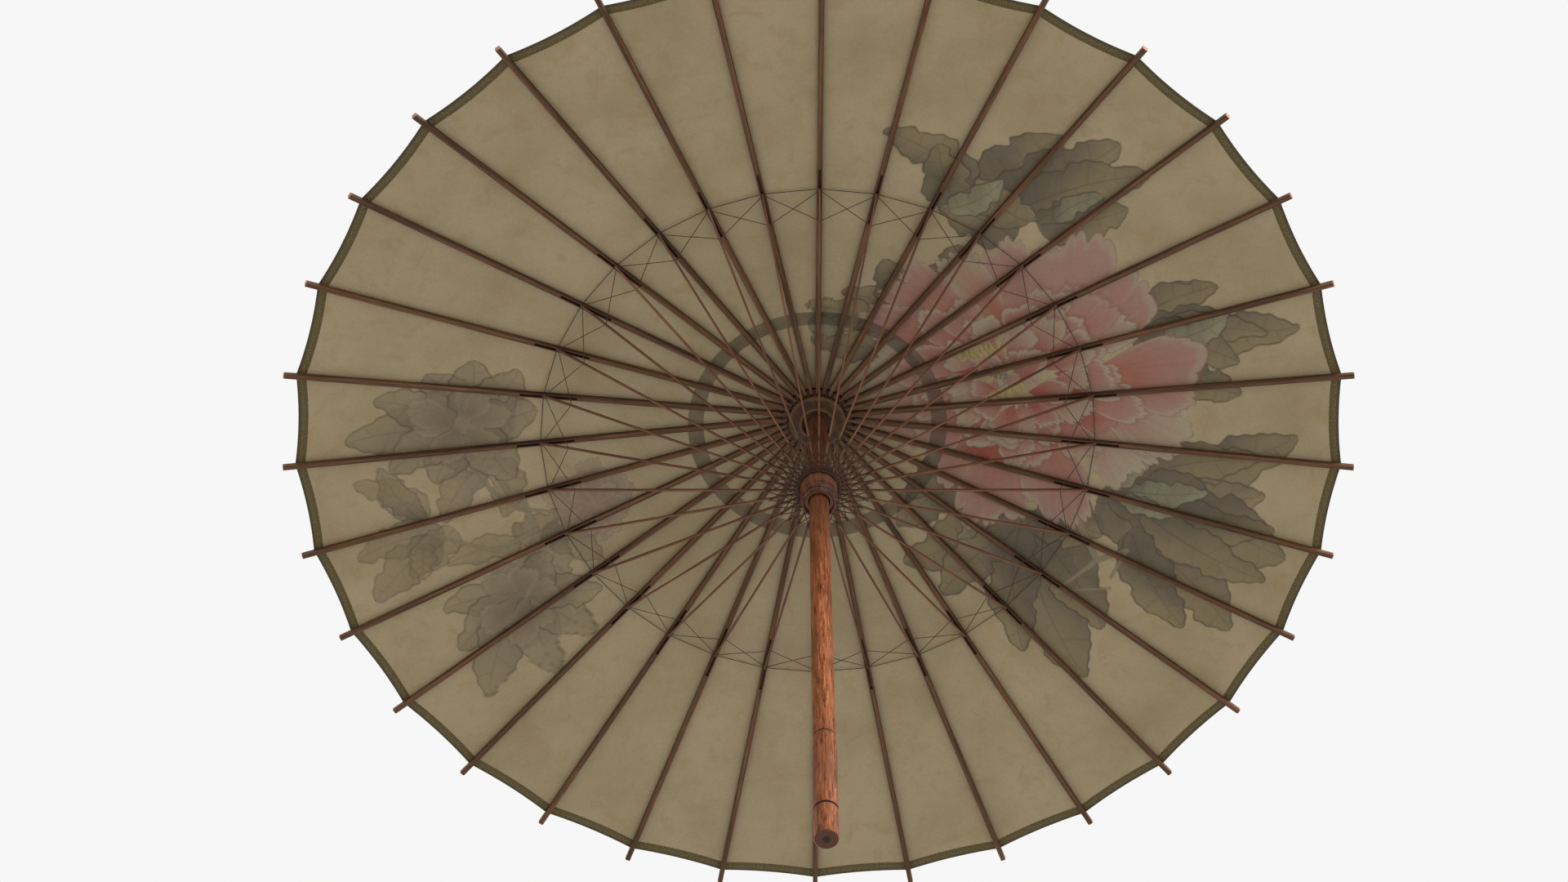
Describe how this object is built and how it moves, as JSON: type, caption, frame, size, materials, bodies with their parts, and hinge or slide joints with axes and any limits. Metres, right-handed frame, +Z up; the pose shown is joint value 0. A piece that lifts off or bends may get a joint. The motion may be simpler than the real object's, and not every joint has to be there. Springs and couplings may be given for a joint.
{
  "type": "oil paper umbrella",
  "caption": "Open folding umbrella with painted oiled paper on split bamboo ribs, a toothed hub and runner laced with thread, and a wooden shaft with a turned grip.",
  "frame": {"origin": "centre of the flat end face of the grip, on the shaft's axis", "axes": "+Z up along the shaft from the grip to the crown; -Y towards long rib 1; ribs are numbered so that their azimuth turns from -Y towards +X"},
  "size_m": [0.8412, 0.8412, 0.5826],
  "materials": {
    "shaft_wood": "orange-brown oiled wood with dark grain",
    "hub_wood": "dark stained wood, dull",
    "runner_wood": "brown stained wood, satin",
    "lacquer": "dark brown lacquered wood",
    "rib_bamboo": "dark red-brown oiled bamboo",
    "short_rib_bamboo": "dark brown oiled bamboo",
    "split_bamboo": "plain split bamboo",
    "oiled_paper": "oiled mulberry paper, painted",
    "brocade": "olive and gold woven tape",
    "thread": "brown waxed cotton thread",
    "wire": "dull soft iron wire"
  },
  "bodies": {
    "root": {"shaft": "shaft_wood", "grip": "shaft_wood", "end_cap": "shaft_wood", "upper_hub": "hub_wood", "hub_wire": "wire", "crown_cap": "lacquer", "canopy": "oiled_paper", "edge_tape": "brocade", "lacing": "thread"},
    "runner": {"runner": "runner_wood", "runner_wire": "wire"},
    "catch": {"catch": "split_bamboo"},
    "long_rib_01": {"long_rib_01": "rib_bamboo"},
    "long_rib_02": {"long_rib_02": "rib_bamboo"},
    "long_rib_03": {"long_rib_03": "rib_bamboo"},
    "long_rib_04": {"long_rib_04": "rib_bamboo"},
    "long_rib_05": {"long_rib_05": "rib_bamboo"},
    "long_rib_06": {"long_rib_06": "rib_bamboo"},
    "long_rib_07": {"long_rib_07": "rib_bamboo"},
    "long_rib_08": {"long_rib_08": "rib_bamboo"},
    "long_rib_09": {"long_rib_09": "rib_bamboo"},
    "long_rib_10": {"long_rib_10": "rib_bamboo"},
    "long_rib_11": {"long_rib_11": "rib_bamboo"},
    "long_rib_12": {"long_rib_12": "rib_bamboo"},
    "long_rib_13": {"long_rib_13": "rib_bamboo"},
    "long_rib_14": {"long_rib_14": "rib_bamboo"},
    "long_rib_15": {"long_rib_15": "rib_bamboo"},
    "long_rib_16": {"long_rib_16": "rib_bamboo"},
    "long_rib_17": {"long_rib_17": "rib_bamboo"},
    "long_rib_18": {"long_rib_18": "rib_bamboo"},
    "long_rib_19": {"long_rib_19": "rib_bamboo"},
    "long_rib_20": {"long_rib_20": "rib_bamboo"},
    "long_rib_21": {"long_rib_21": "rib_bamboo"},
    "long_rib_22": {"long_rib_22": "rib_bamboo"},
    "long_rib_23": {"long_rib_23": "rib_bamboo"},
    "long_rib_24": {"long_rib_24": "rib_bamboo"},
    "long_rib_25": {"long_rib_25": "rib_bamboo"},
    "long_rib_26": {"long_rib_26": "rib_bamboo"},
    "long_rib_27": {"long_rib_27": "rib_bamboo"},
    "long_rib_28": {"long_rib_28": "rib_bamboo"},
    "long_rib_29": {"long_rib_29": "rib_bamboo"},
    "long_rib_30": {"long_rib_30": "rib_bamboo"},
    "long_rib_31": {"long_rib_31": "rib_bamboo"},
    "long_rib_32": {"long_rib_32": "rib_bamboo"},
    "short_ribs_01": {"short_ribs_01": "short_rib_bamboo"},
    "short_ribs_02": {"short_ribs_02": "short_rib_bamboo"},
    "short_ribs_03": {"short_ribs_03": "short_rib_bamboo"},
    "short_ribs_04": {"short_ribs_04": "short_rib_bamboo"},
    "short_ribs_05": {"short_ribs_05": "short_rib_bamboo"},
    "short_ribs_06": {"short_ribs_06": "short_rib_bamboo"},
    "short_ribs_07": {"short_ribs_07": "short_rib_bamboo"},
    "short_ribs_08": {"short_ribs_08": "short_rib_bamboo"},
    "short_ribs_09": {"short_ribs_09": "short_rib_bamboo"},
    "short_ribs_10": {"short_ribs_10": "short_rib_bamboo"},
    "short_ribs_11": {"short_ribs_11": "short_rib_bamboo"},
    "short_ribs_12": {"short_ribs_12": "short_rib_bamboo"},
    "short_ribs_13": {"short_ribs_13": "short_rib_bamboo"},
    "short_ribs_14": {"short_ribs_14": "short_rib_bamboo"},
    "short_ribs_15": {"short_ribs_15": "short_rib_bamboo"},
    "short_ribs_16": {"short_ribs_16": "short_rib_bamboo"}
  },
  "joints": [
    {"name": "runner_slide", "type": "slide", "parent": "root", "child": "runner", "axis": [0, 0, -1], "range_m": [0, 0.312], "deforming": ["canopy", "edge_tape", "lacing", "short_ribs_01", "short_ribs_02", "short_ribs_03", "short_ribs_04", "short_ribs_05", "short_ribs_06", "short_ribs_07", "short_ribs_08", "short_ribs_09", "short_ribs_10", "short_ribs_11", "short_ribs_12", "short_ribs_13", "short_ribs_14", "short_ribs_15", "short_ribs_16", "catch"]},
    {"name": "catch_press", "type": "hinge", "parent": "root", "child": "catch", "pos_m": [0, 0.0046, 0.388], "axis": [1, 0, 0], "range_deg": [0, 7], "stiffness_Nm_per_rad": 0.25, "springref_deg": -3.44},
    {"name": "rib_01_fold", "type": "hinge", "parent": "root", "child": "long_rib_01", "pos_m": [0, -0.0252, 0.54443], "axis": [1, 0, 0], "range_deg": [0, 78.6]},
    {"name": "rib_02_fold", "type": "hinge", "parent": "root", "child": "long_rib_02", "pos_m": [0.00492, -0.02472, 0.54443], "axis": [0.9808, 0.1951, 0], "range_deg": [0, 78.6]},
    {"name": "rib_03_fold", "type": "hinge", "parent": "root", "child": "long_rib_03", "pos_m": [0.00964, -0.02328, 0.54443], "axis": [0.9239, 0.3827, 0], "range_deg": [0, 78.6]},
    {"name": "rib_04_fold", "type": "hinge", "parent": "root", "child": "long_rib_04", "pos_m": [0.014, -0.02095, 0.54443], "axis": [0.8315, 0.5556, 0], "range_deg": [0, 78.6]},
    {"name": "rib_05_fold", "type": "hinge", "parent": "root", "child": "long_rib_05", "pos_m": [0.01782, -0.01782, 0.54443], "axis": [0.7071, 0.7071, 0], "range_deg": [0, 78.6]},
    {"name": "rib_06_fold", "type": "hinge", "parent": "root", "child": "long_rib_06", "pos_m": [0.02095, -0.014, 0.54443], "axis": [0.5556, 0.8315, 0], "range_deg": [0, 78.6]},
    {"name": "rib_07_fold", "type": "hinge", "parent": "root", "child": "long_rib_07", "pos_m": [0.02328, -0.00964, 0.54443], "axis": [0.3827, 0.9239, 0], "range_deg": [0, 78.6]},
    {"name": "rib_08_fold", "type": "hinge", "parent": "root", "child": "long_rib_08", "pos_m": [0.02472, -0.00492, 0.54443], "axis": [0.1951, 0.9808, 0], "range_deg": [0, 78.6]},
    {"name": "rib_09_fold", "type": "hinge", "parent": "root", "child": "long_rib_09", "pos_m": [0.0252, 0, 0.54443], "axis": [0, 1, 0], "range_deg": [0, 78.6]},
    {"name": "rib_10_fold", "type": "hinge", "parent": "root", "child": "long_rib_10", "pos_m": [0.02472, 0.00492, 0.54443], "axis": [-0.1951, 0.9808, 0], "range_deg": [0, 78.6]},
    {"name": "rib_11_fold", "type": "hinge", "parent": "root", "child": "long_rib_11", "pos_m": [0.02328, 0.00964, 0.54443], "axis": [-0.3827, 0.9239, 0], "range_deg": [0, 78.6]},
    {"name": "rib_12_fold", "type": "hinge", "parent": "root", "child": "long_rib_12", "pos_m": [0.02095, 0.014, 0.54443], "axis": [-0.5556, 0.8315, 0], "range_deg": [0, 78.6]},
    {"name": "rib_13_fold", "type": "hinge", "parent": "root", "child": "long_rib_13", "pos_m": [0.01782, 0.01782, 0.54443], "axis": [-0.7071, 0.7071, 0], "range_deg": [0, 78.6]},
    {"name": "rib_14_fold", "type": "hinge", "parent": "root", "child": "long_rib_14", "pos_m": [0.014, 0.02095, 0.54443], "axis": [-0.8315, 0.5556, 0], "range_deg": [0, 78.6]},
    {"name": "rib_15_fold", "type": "hinge", "parent": "root", "child": "long_rib_15", "pos_m": [0.00964, 0.02328, 0.54443], "axis": [-0.9239, 0.3827, 0], "range_deg": [0, 78.6]},
    {"name": "rib_16_fold", "type": "hinge", "parent": "root", "child": "long_rib_16", "pos_m": [0.00492, 0.02472, 0.54443], "axis": [-0.9808, 0.1951, 0], "range_deg": [0, 78.6]},
    {"name": "rib_17_fold", "type": "hinge", "parent": "root", "child": "long_rib_17", "pos_m": [0, 0.0252, 0.54443], "axis": [-1, 0, 0], "range_deg": [0, 78.6]},
    {"name": "rib_18_fold", "type": "hinge", "parent": "root", "child": "long_rib_18", "pos_m": [-0.00492, 0.02472, 0.54443], "axis": [-0.9808, -0.1951, 0], "range_deg": [0, 78.6]},
    {"name": "rib_19_fold", "type": "hinge", "parent": "root", "child": "long_rib_19", "pos_m": [-0.00964, 0.02328, 0.54443], "axis": [-0.9239, -0.3827, 0], "range_deg": [0, 78.6]},
    {"name": "rib_20_fold", "type": "hinge", "parent": "root", "child": "long_rib_20", "pos_m": [-0.014, 0.02095, 0.54443], "axis": [-0.8315, -0.5556, 0], "range_deg": [0, 78.6]},
    {"name": "rib_21_fold", "type": "hinge", "parent": "root", "child": "long_rib_21", "pos_m": [-0.01782, 0.01782, 0.54443], "axis": [-0.7071, -0.7071, 0], "range_deg": [0, 78.6]},
    {"name": "rib_22_fold", "type": "hinge", "parent": "root", "child": "long_rib_22", "pos_m": [-0.02095, 0.014, 0.54443], "axis": [-0.5556, -0.8315, 0], "range_deg": [0, 78.6]},
    {"name": "rib_23_fold", "type": "hinge", "parent": "root", "child": "long_rib_23", "pos_m": [-0.02328, 0.00964, 0.54443], "axis": [-0.3827, -0.9239, 0], "range_deg": [0, 78.6]},
    {"name": "rib_24_fold", "type": "hinge", "parent": "root", "child": "long_rib_24", "pos_m": [-0.02472, 0.00492, 0.54443], "axis": [-0.1951, -0.9808, 0], "range_deg": [0, 78.6]},
    {"name": "rib_25_fold", "type": "hinge", "parent": "root", "child": "long_rib_25", "pos_m": [-0.0252, 0, 0.54443], "axis": [0, -1, 0], "range_deg": [0, 78.6]},
    {"name": "rib_26_fold", "type": "hinge", "parent": "root", "child": "long_rib_26", "pos_m": [-0.02472, -0.00492, 0.54443], "axis": [0.1951, -0.9808, 0], "range_deg": [0, 78.6]},
    {"name": "rib_27_fold", "type": "hinge", "parent": "root", "child": "long_rib_27", "pos_m": [-0.02328, -0.00964, 0.54443], "axis": [0.3827, -0.9239, 0], "range_deg": [0, 78.6]},
    {"name": "rib_28_fold", "type": "hinge", "parent": "root", "child": "long_rib_28", "pos_m": [-0.02095, -0.014, 0.54443], "axis": [0.5556, -0.8315, 0], "range_deg": [0, 78.6]},
    {"name": "rib_29_fold", "type": "hinge", "parent": "root", "child": "long_rib_29", "pos_m": [-0.01782, -0.01782, 0.54443], "axis": [0.7071, -0.7071, 0], "range_deg": [0, 78.6]},
    {"name": "rib_30_fold", "type": "hinge", "parent": "root", "child": "long_rib_30", "pos_m": [-0.014, -0.02095, 0.54443], "axis": [0.8315, -0.5556, 0], "range_deg": [0, 78.6]},
    {"name": "rib_31_fold", "type": "hinge", "parent": "root", "child": "long_rib_31", "pos_m": [-0.00964, -0.02328, 0.54443], "axis": [0.9239, -0.3827, 0], "range_deg": [0, 78.6]},
    {"name": "rib_32_fold", "type": "hinge", "parent": "root", "child": "long_rib_32", "pos_m": [-0.00492, -0.02472, 0.54443], "axis": [0.9808, -0.1951, 0], "range_deg": [0, 78.6]},
    {"name": "short_ribs_01_fold", "type": "hinge", "parent": "runner", "child": "short_ribs_01", "pos_m": [0.00112, -0.01139, 0.4366], "axis": [-0.9952, -0.098, 0], "range_deg": [0, 67.8]},
    {"name": "short_ribs_02_fold", "type": "hinge", "parent": "runner", "child": "short_ribs_02", "pos_m": [0.00539, -0.01009, 0.4366], "axis": [-0.8819, -0.4714, 0], "range_deg": [0, 67.8]},
    {"name": "short_ribs_03_fold", "type": "hinge", "parent": "runner", "child": "short_ribs_03", "pos_m": [0.00885, -0.00726, 0.4366], "axis": [-0.6344, -0.773, 0], "range_deg": [0, 67.8]},
    {"name": "short_ribs_04_fold", "type": "hinge", "parent": "runner", "child": "short_ribs_04", "pos_m": [0.01095, -0.00332, 0.4366], "axis": [-0.2903, -0.9569, 0], "range_deg": [0, 67.8]},
    {"name": "short_ribs_05_fold", "type": "hinge", "parent": "runner", "child": "short_ribs_05", "pos_m": [0.01139, 0.00112, 0.4366], "axis": [0.098, -0.9952, 0], "range_deg": [0, 67.8]},
    {"name": "short_ribs_06_fold", "type": "hinge", "parent": "runner", "child": "short_ribs_06", "pos_m": [0.01009, 0.00539, 0.4366], "axis": [0.4714, -0.8819, 0], "range_deg": [0, 67.8]},
    {"name": "short_ribs_07_fold", "type": "hinge", "parent": "runner", "child": "short_ribs_07", "pos_m": [0.00726, 0.00885, 0.4366], "axis": [0.773, -0.6344, 0], "range_deg": [0, 67.8]},
    {"name": "short_ribs_08_fold", "type": "hinge", "parent": "runner", "child": "short_ribs_08", "pos_m": [0.00332, 0.01095, 0.4366], "axis": [0.9569, -0.2903, 0], "range_deg": [0, 67.8]},
    {"name": "short_ribs_09_fold", "type": "hinge", "parent": "runner", "child": "short_ribs_09", "pos_m": [-0.00112, 0.01139, 0.4366], "axis": [0.9952, 0.098, 0], "range_deg": [0, 67.8]},
    {"name": "short_ribs_10_fold", "type": "hinge", "parent": "runner", "child": "short_ribs_10", "pos_m": [-0.00539, 0.01009, 0.4366], "axis": [0.8819, 0.4714, 0], "range_deg": [0, 67.8]},
    {"name": "short_ribs_11_fold", "type": "hinge", "parent": "runner", "child": "short_ribs_11", "pos_m": [-0.00885, 0.00726, 0.4366], "axis": [0.6344, 0.773, 0], "range_deg": [0, 67.8]},
    {"name": "short_ribs_12_fold", "type": "hinge", "parent": "runner", "child": "short_ribs_12", "pos_m": [-0.01095, 0.00332, 0.4366], "axis": [0.2903, 0.9569, 0], "range_deg": [0, 67.8]},
    {"name": "short_ribs_13_fold", "type": "hinge", "parent": "runner", "child": "short_ribs_13", "pos_m": [-0.01139, -0.00112, 0.4366], "axis": [-0.098, 0.9952, 0], "range_deg": [0, 67.8]},
    {"name": "short_ribs_14_fold", "type": "hinge", "parent": "runner", "child": "short_ribs_14", "pos_m": [-0.01009, -0.00539, 0.4366], "axis": [-0.4714, 0.8819, 0], "range_deg": [0, 67.8]},
    {"name": "short_ribs_15_fold", "type": "hinge", "parent": "runner", "child": "short_ribs_15", "pos_m": [-0.00726, -0.00885, 0.4366], "axis": [-0.773, 0.6344, 0], "range_deg": [0, 67.8]},
    {"name": "short_ribs_16_fold", "type": "hinge", "parent": "runner", "child": "short_ribs_16", "pos_m": [-0.00332, -0.01095, 0.4366], "axis": [-0.9569, 0.2903, 0], "range_deg": [0, 67.8]}
  ],
  "couplings": [
    {"joint": "rib_01_fold", "follows": "runner_slide", "rad_per_m": 4.39},
    {"joint": "rib_02_fold", "follows": "runner_slide", "rad_per_m": 4.39},
    {"joint": "rib_03_fold", "follows": "runner_slide", "rad_per_m": 4.39},
    {"joint": "rib_04_fold", "follows": "runner_slide", "rad_per_m": 4.39},
    {"joint": "rib_05_fold", "follows": "runner_slide", "rad_per_m": 4.39},
    {"joint": "rib_06_fold", "follows": "runner_slide", "rad_per_m": 4.39},
    {"joint": "rib_07_fold", "follows": "runner_slide", "rad_per_m": 4.39},
    {"joint": "rib_08_fold", "follows": "runner_slide", "rad_per_m": 4.39},
    {"joint": "rib_09_fold", "follows": "runner_slide", "rad_per_m": 4.39},
    {"joint": "rib_10_fold", "follows": "runner_slide", "rad_per_m": 4.39},
    {"joint": "rib_11_fold", "follows": "runner_slide", "rad_per_m": 4.39},
    {"joint": "rib_12_fold", "follows": "runner_slide", "rad_per_m": 4.39},
    {"joint": "rib_13_fold", "follows": "runner_slide", "rad_per_m": 4.39},
    {"joint": "rib_14_fold", "follows": "runner_slide", "rad_per_m": 4.39},
    {"joint": "rib_15_fold", "follows": "runner_slide", "rad_per_m": 4.39},
    {"joint": "rib_16_fold", "follows": "runner_slide", "rad_per_m": 4.39},
    {"joint": "rib_17_fold", "follows": "runner_slide", "rad_per_m": 4.39},
    {"joint": "rib_18_fold", "follows": "runner_slide", "rad_per_m": 4.39},
    {"joint": "rib_19_fold", "follows": "runner_slide", "rad_per_m": 4.39},
    {"joint": "rib_20_fold", "follows": "runner_slide", "rad_per_m": 4.39},
    {"joint": "rib_21_fold", "follows": "runner_slide", "rad_per_m": 4.39},
    {"joint": "rib_22_fold", "follows": "runner_slide", "rad_per_m": 4.39},
    {"joint": "rib_23_fold", "follows": "runner_slide", "rad_per_m": 4.39},
    {"joint": "rib_24_fold", "follows": "runner_slide", "rad_per_m": 4.39},
    {"joint": "rib_25_fold", "follows": "runner_slide", "rad_per_m": 4.39},
    {"joint": "rib_26_fold", "follows": "runner_slide", "rad_per_m": 4.39},
    {"joint": "rib_27_fold", "follows": "runner_slide", "rad_per_m": 4.39},
    {"joint": "rib_28_fold", "follows": "runner_slide", "rad_per_m": 4.39},
    {"joint": "rib_29_fold", "follows": "runner_slide", "rad_per_m": 4.39},
    {"joint": "rib_30_fold", "follows": "runner_slide", "rad_per_m": 4.39},
    {"joint": "rib_31_fold", "follows": "runner_slide", "rad_per_m": 4.39},
    {"joint": "rib_32_fold", "follows": "runner_slide", "rad_per_m": 4.39},
    {"joint": "short_ribs_01_fold", "follows": "runner_slide", "rad_per_m": 3.785},
    {"joint": "short_ribs_02_fold", "follows": "runner_slide", "rad_per_m": 3.785},
    {"joint": "short_ribs_03_fold", "follows": "runner_slide", "rad_per_m": 3.785},
    {"joint": "short_ribs_04_fold", "follows": "runner_slide", "rad_per_m": 3.785},
    {"joint": "short_ribs_05_fold", "follows": "runner_slide", "rad_per_m": 3.785},
    {"joint": "short_ribs_06_fold", "follows": "runner_slide", "rad_per_m": 3.785},
    {"joint": "short_ribs_07_fold", "follows": "runner_slide", "rad_per_m": 3.785},
    {"joint": "short_ribs_08_fold", "follows": "runner_slide", "rad_per_m": 3.785},
    {"joint": "short_ribs_09_fold", "follows": "runner_slide", "rad_per_m": 3.785},
    {"joint": "short_ribs_10_fold", "follows": "runner_slide", "rad_per_m": 3.785},
    {"joint": "short_ribs_11_fold", "follows": "runner_slide", "rad_per_m": 3.785},
    {"joint": "short_ribs_12_fold", "follows": "runner_slide", "rad_per_m": 3.785},
    {"joint": "short_ribs_13_fold", "follows": "runner_slide", "rad_per_m": 3.785},
    {"joint": "short_ribs_14_fold", "follows": "runner_slide", "rad_per_m": 3.785},
    {"joint": "short_ribs_15_fold", "follows": "runner_slide", "rad_per_m": 3.785},
    {"joint": "short_ribs_16_fold", "follows": "runner_slide", "rad_per_m": 3.785}
  ]
}
